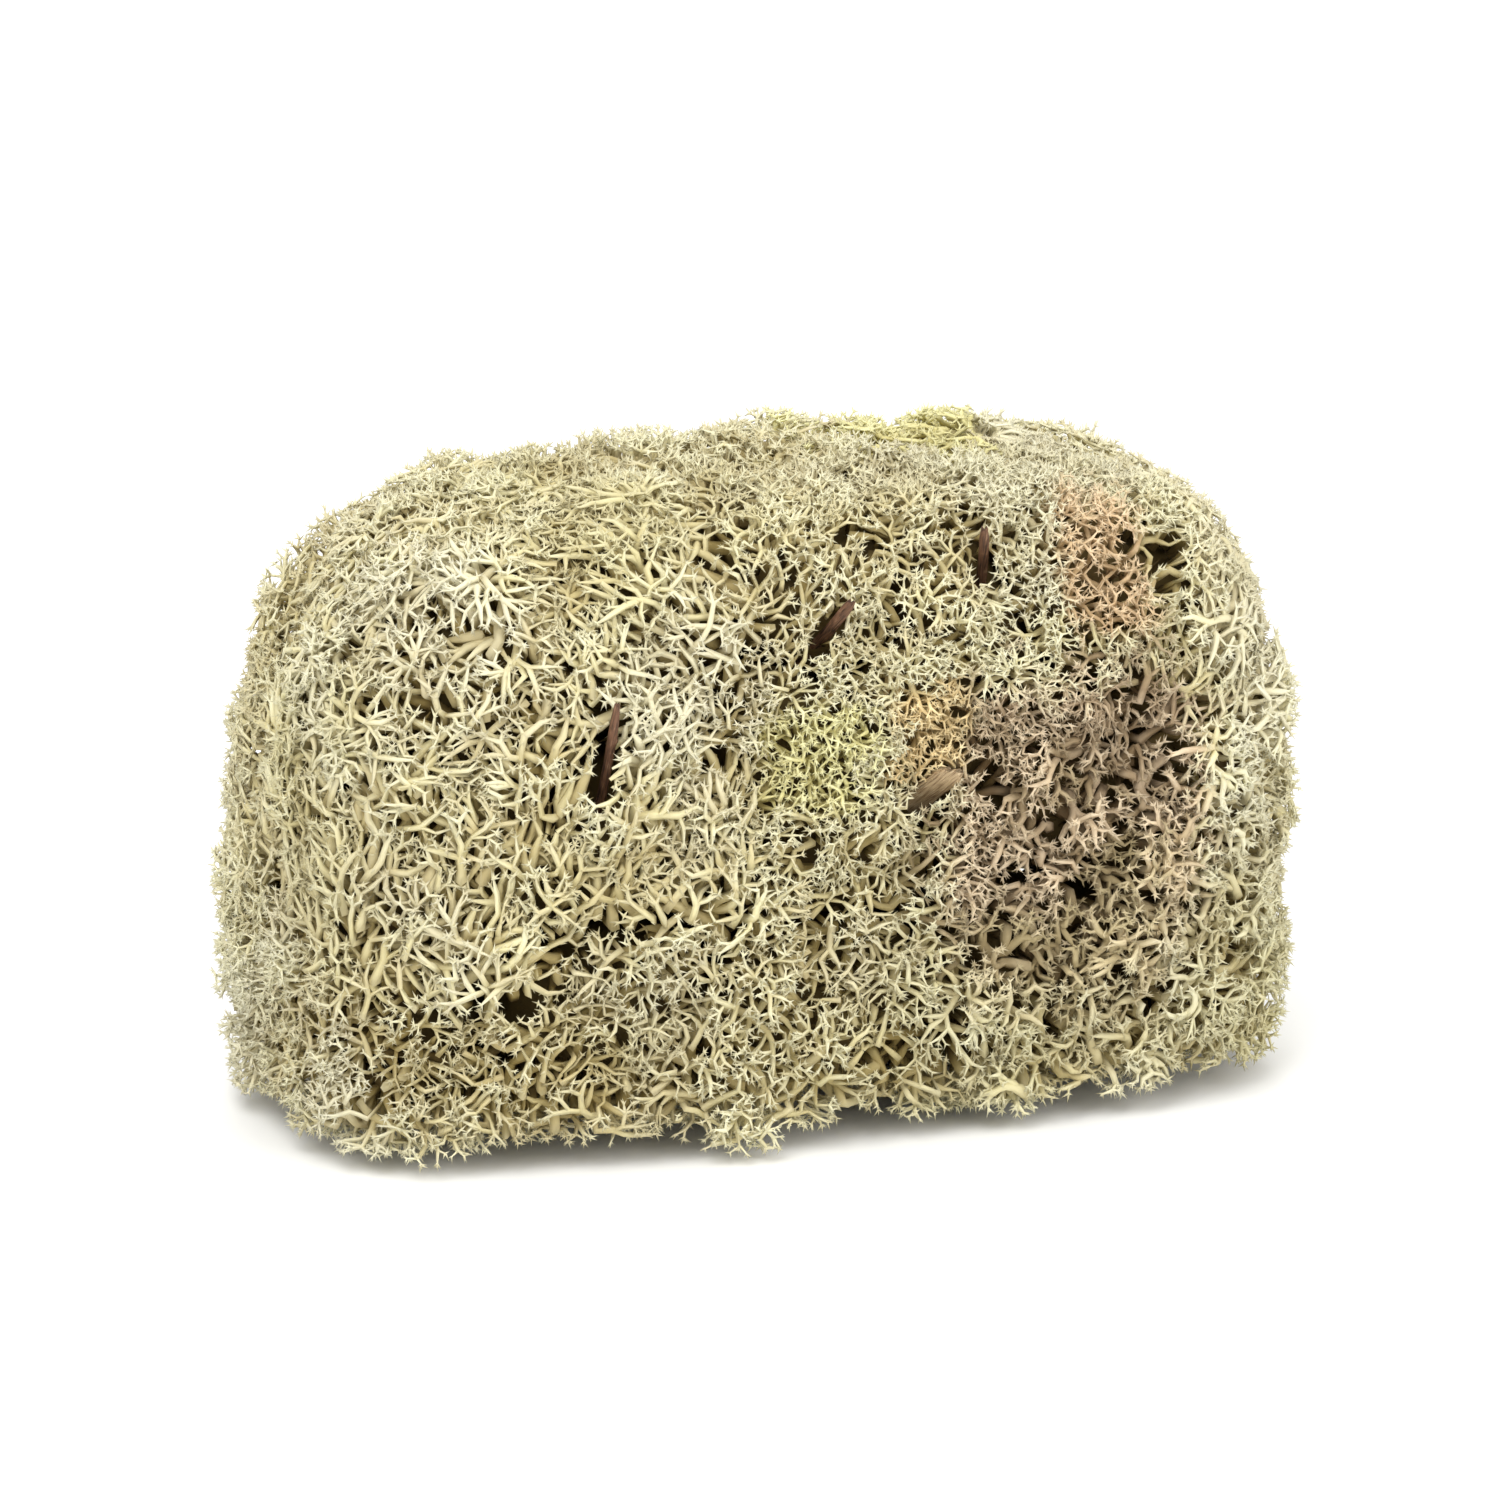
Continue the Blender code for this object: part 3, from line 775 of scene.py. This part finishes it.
scraps = {
    "twig": {
        "outer": (-0.0292, -0.0292, 0.0560), "inner": (-0.0276, -0.0158, 0.0325), "slot": "bark",
        "width": 0.0012, "thickness": 0.0012, "bend": 0.0004, "squareness": 2.0, "knots": (0.22, 0.61),
        "around": 20, "along": 64, "ridge": 0.10, "ragged": 0.0005,
    },
    "bark_splinter_1": {
        "outer": (0.0165, -0.0243, 0.0712), "inner": (0.0203, -0.0130, 0.0562), "slot": "bark",
        "width": 0.0013, "thickness": 0.0008, "bend": 0.0004, "squareness": 3.5, "knots": (),
        "around": 24, "along": 48, "ridge": 0.16, "ragged": 0.0016,
    },
    "bark_splinter_2": {
        "outer": (-0.0012, -0.0292, 0.0655), "inner": (-0.0026, -0.0158, 0.0540), "slot": "bark",
        "width": 0.0015, "thickness": 0.0009, "bend": 0.0004, "squareness": 3.5, "knots": (),
        "around": 24, "along": 44, "ridge": 0.16, "ragged": 0.0014,
    },
    "wood_chip": {
        "outer": (0.0114, -0.0302, 0.0448), "inner": (0.0078, -0.0158, 0.0338), "slot": "wood chip",
        "width": 0.0042, "thickness": 0.0010, "bend": 0.0, "squareness": 4.0, "knots": (),
        "around": 44, "along": 40, "ridge": 0.13, "ragged": 0.0012,
    },
}
scrapTaper = ((0.0, 0.12, 0.55, 1.0), (0.5, 0.9, 1.0, 0.72))  # shares of the length and of the width
scrapKnots = {"height": 0.4, "length": 0.022, "turn": 2.2}
scrapWaves = (8, 26)
scrapRoom = {
    "step": 0.0006,  # between the points kept free, along a scrap
    "rise": 0.0008,  # and from it towards the one who looks
    "outward": 0.0070,
    "towards": (-0.33, -0.90, 0.27),
    "radius": 0.0016,  # branches turn away from here on
    "least": 0.0011,  # and nothing forks or ends nearer than this
}


def keepClear():
    # Points to keep clear: along the scraps, and from them towards the one who looks
    found = []
    for piece in scraps.values():
        outer, inner = np.array(piece["outer"]), np.array(piece["inner"])
        count = int(np.linalg.norm(outer - inner) / scrapRoom["step"])
        line = inner + (outer - inner) * np.linspace(0.0, 1.0, count)[:, None]
        for offset in np.arange(0.0, scrapRoom["outward"], scrapRoom["rise"]):
            found.append(line + offset * unit(np.array(scrapRoom["towards"])))
    return np.vstack(found)


def makeScrap(name, look):
    # A stick or flake with fibres along it, torn at both ends
    piece = scraps[name]
    rng = np.random.default_rng(len(name))
    outer, inner = np.array(piece["outer"]), np.array(piece["inner"])
    length = np.linalg.norm(inner - outer)
    run = (inner - outer) / length
    flat = unit(np.cross(run, [0.0, 1.0, 0.0]))
    thin = np.cross(run, flat)
    around, along = piece["around"], piece["along"]
    angles = 2 * np.pi * np.arange(around) / around
    share = np.linspace(0.0, 1.0, along)[:, None]
    torn = piece["ragged"] * rng.random((2, around))
    place = torn[0] + share * (length - torn[0] - torn[1])
    wide = np.interp(place / length, *scrapTaper)
    fibres = rng.normal(size=around)
    waves = np.sin(place / length * rng.uniform(*scrapWaves, around) + rng.uniform(0, 6, around))
    wide = wide * (1 - piece["ridge"] * (0.5 + np.clip(fibres + waves * 0.6, -1.5, 1.5) / 3))
    for number, knot in enumerate(piece["knots"]):
        facing = np.clip(np.cos(angles - scrapKnots["turn"] * number - 1), 0, 1) ** 2
        swell = np.exp(-(((place / length - knot) / scrapKnots["length"]) ** 2))
        wide = wide + scrapKnots["height"] * facing * swell
    power = 2 / piece["squareness"]
    across = np.sign(np.cos(angles)) * np.abs(np.cos(angles)) ** power * piece["width"] / 2 * wide
    up = np.sign(np.sin(angles)) * np.abs(np.sin(angles)) ** power * piece["thickness"] / 2 * wide
    across = across + piece["bend"] * np.sin(np.pi * place / length)
    points = outer + place[..., None] * run + across[..., None] * flat + up[..., None] * thin
    ends = points[[0, -1]].mean(axis=1)
    points = np.vstack([points.reshape(-1, 3), ends])
    faces = []
    for ring in range(along - 1):
        for k in range(around):
            low, high = ring * around + k, ring * around + (k + 1) % around
            faces.append((low, high, high + around, low + around))
    first, last = along * around, (along - 1) * around
    for k in range(around):
        following = (k + 1) % around
        faces.append((first, following, k))
        faces.append((first + 1, last + k, last + following))
    shape = bmesh.new()
    verts = [shape.verts.new(point) for point in points]
    for face in faces:
        shape.faces.new([verts[k] for k in face])
    bmesh.ops.recalc_face_normals(shape, faces=shape.faces)
    mesh = bpy.data.meshes.new(name)
    shape.to_mesh(mesh)
    shape.free()
    grain = np.vstack([
        np.column_stack([(place + 0 * across).ravel(), across.ravel(), up.ravel()]), np.zeros((2, 3)),
    ])
    grain[-1, 0] = length
    setValues(mesh, "grain", "FLOAT_VECTOR", grain)
    mesh.polygons.foreach_set("use_smooth", np.ones(len(mesh.polygons), bool))
    mesh.materials.append(look)
    made = link(bpy.data.objects.new(name + "_fibres", mesh))
    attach(made, "root")
    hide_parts(name)


scrapLooks = {
    "bark": {
        "dark": (0.035, 0.018, 0.010), "middle": (0.17, 0.080, 0.042), "light": (0.36, 0.22, 0.13),
        "roughness": 0.78,
    },
    "wood chip": {
        "dark": (0.20, 0.12, 0.055), "middle": (0.48, 0.35, 0.20), "light": (0.66, 0.53, 0.34),
        "roughness": 0.85,
    },
}
scrapGrain = {
    "streaks": 5200.0,  # noise scales, per metre
    "stretch": 0.07,
    "patches": 900.0,
    "height": 0.00008,
    "middleAt": (0.32, 0.55),
    "lightAt": (0.62, 0.85),
}


def makeScrapLook(name):
    colours = scrapLooks[name]
    look, graph, shader, coords = newLook(name)
    grain = graph.add("ShaderNodeAttribute", {"attribute_name": "grain"}, output="Vector")
    sizes = {0: grain, 1: (scrapGrain["stretch"], 1.0, 1.0)}
    long = graph.add("ShaderNodeVectorMath", {"operation": "MULTIPLY"}, sizes)
    streaks = graph.noise(long, scrapGrain["streaks"], 4.0, 0.6)
    patches = graph.noise(coords, scrapGrain["patches"], 3.0)
    middle = graph.steps(streaks, *scrapGrain["middleAt"])
    colour = graph.mix(middle, colours["dark"], colours["middle"])
    light = graph.steps(streaks * 0.7 + patches * 0.5, *scrapGrain["lightAt"])
    colour = graph.mix(light, colour, colours["light"])
    feed(shader, "Base Color", colour)
    feed(shader, "Roughness", roughnessAround(patches, colours["roughness"]))
    relief = {"Height": streaks + patches * 0.4, "Distance": scrapGrain["height"]}
    feed(shader, "Normal", graph.add("ShaderNodeBump", {}, relief))
    return look


# Branches from middle lines, and a whorl of prongs on every tip

branching = {
    "Stem Sides": 5,
    "Branch Sides": 4,
    "Twig Sides": 3,
    "Prong Length": 4.4,  # in radii of the branch that carries it
    "Prong Thickness": 0.72,
    "Prong Splay": 0.90,  # radians
    "Stub Density": 340000.0,  # old stubs on the hearts, per square metre
    "Stub Length": 0.0024,
    "Seed": 5,
}
tipWhorls = (4, 3, 5, 4)  # prongs of each whorl shape
spurWhorls = (1, 2, 1)
whorlRanges = {"turn": (-0.5, 0.5), "lean": (0.5, 1.3), "size": (0.65, 1.2)}
stubShape = {
    "tilt": 1.2,  # radians
    "thickness": 0.14,  # of its length
    "lengths": (0.6, 1.3),
    "deepest": 0.97,  # from this shade on, nothing can be seen
}
prongAge = 0.9


def named(graph, name, kind="FLOAT"):
    return graph.add("GeometryNodeInputNamedAttribute", {"data_type": kind}, {"Name": name})


def partIs(graph, number):
    part = named(graph, "part", "INT")
    equal = {"data_type": "INT", "operation": "EQUAL"}
    return graph.add("FunctionNodeCompare", equal, {2: part, 3: number})


def kept(graph, geometry, selection):
    return graph.add("GeometryNodeSeparateGeometry", {"domain": "POINT"}, {0: geometry, 1: selection})


def tubes(graph, ports, number, sides):
    lines = kept(graph, ports["Geometry"], partIs(graph, number))
    curve = graph.add("GeometryNodeMeshToCurve", {}, {0: lines})
    profile = graph.add("GeometryNodeCurvePrimitiveCircle", {}, {"Resolution": ports[sides], "Radius": 1.0})
    radius = named(graph, "thickness")
    return graph.add("GeometryNodeCurveToMesh", {}, {0: curve, 1: profile, "Scale": radius})


def cone(graph, thickness, length):
    size = {"Vertices": 3, "Radius Top": 0.0, "Radius Bottom": thickness, "Depth": length}
    return graph.add("GeometryNodeMeshCone", {"fill_type": "NONE"}, size)


def prong(graph, ports):
    shape = cone(graph, ports["Prong Thickness"], ports["Prong Length"])
    return graph.add("GeometryNodeStoreNamedAttribute", {}, {0: shape, "Name": "age", "Value": prongAge})


def randomShare(graph, low, high, seed):
    return graph.add("FunctionNodeRandomValue", {"data_type": "FLOAT"}, {2: low, 3: high, 8: seed}, 1)


def whorlShape(graph, ports, count, number):
    # A few prongs round a tip, as one instance
    points = graph.add("GeometryNodePoints", {}, {"Count": count})
    index = graph.add("GeometryNodeInputIndex")
    seed = ports["Seed"] + number * 7
    azimuth = index * (2 * math.pi / count) + randomShare(graph, *whorlRanges["turn"], seed)
    lean = ports["Prong Splay"] * randomShare(graph, *whorlRanges["lean"], seed + 1)
    euler = graph.add("ShaderNodeCombineXYZ", {}, {1: lean, 2: azimuth})
    turn = graph.add("FunctionNodeEulerToRotation", {}, {0: euler})
    size = randomShare(graph, *whorlRanges["size"], seed + 2)
    inputs = {0: points, "Instance": prong(graph, ports), "Rotation": turn, "Scale": size}
    placed = graph.add("GeometryNodeInstanceOnPoints", {}, inputs)
    real = graph.add("GeometryNodeRealizeInstances", {}, {0: placed})
    return graph.add("GeometryNodeGeometryToInstance", {}, {0: real})


def together(graph, parts):
    joined = graph.add("GeometryNodeJoinGeometry")
    for part in reversed(parts):
        graph.tree.links.new(part.socket, joined.socket.node.inputs[0])
    return joined


def whorls(graph, ports, number, counts):
    # A whorl on every tip of one kind, turned along its branch
    shapes = [whorlShape(graph, ports, count, place) for place, count in enumerate(counts)]
    aim = named(graph, "aim", "FLOAT_VECTOR")
    turn = graph.add("FunctionNodeAlignRotationToVector", {"axis": "Z"}, {"Vector": aim})
    spin = randomShare(graph, 0.0, 2 * math.pi, ports["Seed"] + 3)
    spun = graph.add("FunctionNodeAxisAngleToRotation", {}, {"Axis": (0.0, 0.0, 1.0), "Angle": spin})
    turn = graph.add("FunctionNodeRotateRotation", {"rotation_space": "LOCAL"}, {0: turn, 1: spun})
    choice = {4: 0, 5: len(counts) - 1, 8: ports["Seed"]}
    pick = graph.add("FunctionNodeRandomValue", {"data_type": "INT"}, choice, 2)
    inputs = {
        0: kept(graph, ports["Geometry"], partIs(graph, number)), "Instance": together(graph, shapes),
        "Pick Instance": True, "Instance Index": pick, "Rotation": turn, "Scale": named(graph, "thickness"),
    }
    return graph.add("GeometryNodeInstanceOnPoints", {}, inputs)


def stubs(graph, ports, core):
    # Broken old stems that stand on a heart, where its shade is below the deepest that can be seen
    shade = named(graph, "shade")
    near = graph.add("FunctionNodeCompare", {"operation": "LESS_THAN"}, {0: shade, 1: stubShape["deepest"]})
    scatter = {0: core, 1: near, "Density": ports["Stub Density"], "Seed": ports["Seed"]}
    points = graph.add("GeometryNodeDistributePointsOnFaces", {}, scatter)
    upright = Value(graph, points.socket.node.outputs["Rotation"])
    most = stubShape["tilt"]
    tilts = {0: (-most, -most, 0.0), 1: (most, most, 6.3), 8: ports["Seed"]}
    tilt = graph.add("FunctionNodeRandomValue", {"data_type": "FLOAT_VECTOR"}, tilts)
    turn = graph.add("FunctionNodeEulerToRotation", {}, {0: tilt})
    turn = graph.add("FunctionNodeRotateRotation", {"rotation_space": "LOCAL"}, {0: upright, 1: turn})
    stub = cone(graph, stubShape["thickness"], 1.0)
    length = ports["Stub Length"] * randomShare(graph, *stubShape["lengths"], ports["Seed"] + 4)
    inputs = {0: points, "Instance": stub, "Rotation": turn, "Scale": length}
    return graph.add("GeometryNodeInstanceOnPoints", {}, inputs)


def makeBranchTree():
    tree = bpy.data.node_groups.new("lichen branches", "GeometryNodeTree")
    graph = Graph(tree)
    sockets = tree.interface
    sockets.new_socket("Geometry", in_out="INPUT", socket_type="NodeSocketGeometry")
    for name, value in branching.items():
        kind = "NodeSocketInt" if isinstance(value, int) else "NodeSocketFloat"
        sockets.new_socket(name, in_out="INPUT", socket_type=kind)
    sockets.new_socket("Material", in_out="INPUT", socket_type="NodeSocketMaterial")
    sockets.new_socket("Geometry", in_out="OUTPUT", socket_type="NodeSocketGeometry")
    entry = tree.nodes.new("NodeGroupInput")
    ports = {socket.name: Value(graph, socket) for socket in entry.outputs if socket.name}

    core = kept(graph, ports["Geometry"], partIs(graph, 0))
    parts = [
        core,
        stubs(graph, ports, core),
        tubes(graph, ports, 1, "Stem Sides"),
        tubes(graph, ports, 2, "Branch Sides"),
        tubes(graph, ports, 3, "Twig Sides"),
        whorls(graph, ports, 4, tipWhorls),
        whorls(graph, ports, 5, spurWhorls),
    ]
    real = graph.add("GeometryNodeRealizeInstances", {}, {0: together(graph, parts)})
    smooth = graph.add("GeometryNodeSetShadeSmooth", {}, {0: real})
    done = graph.add("GeometryNodeSetMaterial", {}, {0: smooth, "Material": ports["Material"]})
    leave = tree.nodes.new("NodeGroupOutput")
    tree.links.new(done.socket, leave.inputs[0])
    return tree


# Hearts: the matted old stems behind the branches

def heartShape(tuft):
    shape = bmesh.new()
    bmesh.ops.create_icosphere(shape, subdivisions=heart["fineness"], radius=1.0)
    ways = np.array([vert.co for vert in shape.verts])
    faces = [[vert.index for vert in face.verts] for face in shape.faces]
    shape.free()
    seed = seedPoints[tuft]
    rng = np.random.default_rng(growth["seed"] + 100 + tuft)
    low = np.zeros(len(ways))
    high = np.full(len(ways), block["width"])
    for _ in range(22):
        middle = (low + high) / 2
        depth, _out = outlineAt(seed + ways * middle[:, None])
        inside = depth > heart["depth"]
        low, high = np.where(inside, middle, low), np.where(inside, high, middle)
    shares = [1 / np.maximum(low, heart["least"])]
    for other in np.delete(seedPoints, tuft, axis=0):
        apart = other - seed
        wall = np.linalg.norm(apart) / 2 - heart["gap"]
        closing = ways @ unit(apart)
        shares.append(np.maximum(closing, 1e-6) / wall)
    reach = (np.array(shares) ** heart["rounding"]).sum(axis=0) ** (-1 / heart["rounding"])
    reach = reach - heart["rough"] * rng.random(len(reach))
    points = seed + ways * reach[:, None]
    points[:, 2] = np.maximum(points[:, 2], heart["above"])
    return points, faces


def setValues(mesh, name, kind, values):
    made = mesh.attributes.new(name, kind, "POINT")
    field = "vector" if kind == "FLOAT_VECTOR" else "value"
    made.data.foreach_set(field, np.ascontiguousarray(values).ravel())


def shadeAt(points):
    # painted shade: how deep a point lies below the outline, from 0 there to 1 at full depth
    depth, _out = outlineAt(points)
    return np.clip(depth / block["fullShadeDepth"], 0, 1)


def within(points, tone, middle, sizes):
    away = np.linalg.norm((points - middle) / sizes, ord=3, axis=1)
    share = (patchEdge["none"] - away) / patchEdge["blur"]
    return np.clip(share + (tone - 0.5) * patchEdge["mottle"], 0, 1)


def patchesAt(points, tone, tuft):
    # How far each point has its tuft's own colour, and how far it has died
    slot = slotOf[tuftNames[tuft]]
    own = np.ones(len(points))
    if seedPoints[tuft, 1] > block["front"]:
        return own, own * (slot == "dead lichen")
    if slot in lichenPatches:
        own = within(points, tone, *lichenPatches[slot])
    return own, within(points, tone, *lichenPatches["dead lichen"])


def taper(lines):
    # A branch's last spot is thinner, so that its prongs close it
    ends = np.append(lines["chain"][1:] != lines["chain"][:-1], True)
    return np.where(ends, lines["thickness"] * growth["lastTaper"], lines["thickness"])


def makeTuft(tuft, lines, ends, tree, looks):
    # One mesh of a heart, middle lines and tips, each with its part's number, which the tree dresses
    name = tuftNames[tuft]
    own = picked(lines, lines["tuft"] == tuft)
    own = picked(own, np.lexsort((own["when"], own["chain"])))
    own["thickness"] = taper(own)
    follows = np.flatnonzero(own["chain"][1:] == own["chain"][:-1])
    whorled = picked(ends, ends["tuft"] == tuft)
    core, faces = heartShape(tuft)
    first = len(core)
    points = np.vstack([core, own["spot"], whorled["spot"]])
    edges = np.column_stack([follows, follows + 1]) + first
    mesh = bpy.data.meshes.new(name + "_lines")
    mesh.from_pydata(points.tolist(), edges.tolist(), faces)

    def joined(field, ofCore):
        return np.concatenate([np.full(first, ofCore), own[field], whorled[field]])

    tone = joined("tone", 0.5)
    patch, died = patchesAt(points, tone, tuft)
    fields = {
        "thickness": joined("thickness", 0.0), "age": joined("age", 0.0), "tone": tone,
        "patch": patch, "died": died, "shade": shadeAt(points),
    }
    setValues(mesh, "part", "INT", joined("kind", 0).astype(np.int32))
    for field, values in fields.items():
        setValues(mesh, field, "FLOAT", values)
    aims = np.vstack([np.zeros((first + len(own["spot"]), 3)), whorled["aim"]])
    setValues(mesh, "aim", "FLOAT_VECTOR", aims)

    draft = link(bpy.data.objects.new(name + "_draft", mesh))
    modifier = draft.modifiers.new("branches", "NODES")
    modifier.node_group = tree
    sockets = {item.name: item.identifier for item in tree.interface.items_tree if item.in_out == "INPUT"}
    for key, value in branching.items():
        modifier[sockets[key]] = value
    modifier[sockets["Material"]] = looks[slotOf[name]]
    settled = draft.evaluated_get(bpy.context.evaluated_depsgraph_get())
    plain = bpy.data.meshes.new_from_object(settled)
    plain.name = name
    bpy.data.objects.remove(draft)
    corners = np.empty(len(plain.vertices) * 3, np.float32)
    plain.vertices.foreach_get("co", corners)
    corners[2::3] = np.maximum(corners[2::3], block["pressedTo"])
    plain.vertices.foreach_set("co", corners)
    made = link(bpy.data.objects.new(name + "_branches", plain))
    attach(made, "root")
    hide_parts(name)
    return sum(len(face.vertices) - 2 for face in plain.polygons)


looks = {name: makeLichenLook(name) for name in lichenLooks}
headLayout = makeHeads(np.random.default_rng(growth["seed"] + 1))
scrapTree = treeOf(keepClear())
print("heads:", len(headLayout[1]))
lines, ends = growAll()
print("grown:", len(lines["spot"]), "points on branches,", len(ends["spot"]), "tips")
branchTree = makeBranchTree()
total = 0
for tuft in range(len(tuftNames)):
    total += makeTuft(tuft, lines, ends, branchTree, looks)
print("tufts:", len(tuftNames), "pieces,", total, "triangles")
scrapMaterials = {name: makeScrapLook(name) for name in scrapLooks}
for name, piece in scraps.items():
    makeScrap(name, scrapMaterials[piece["slot"]])
print("scraps:", len(scraps), "pieces")
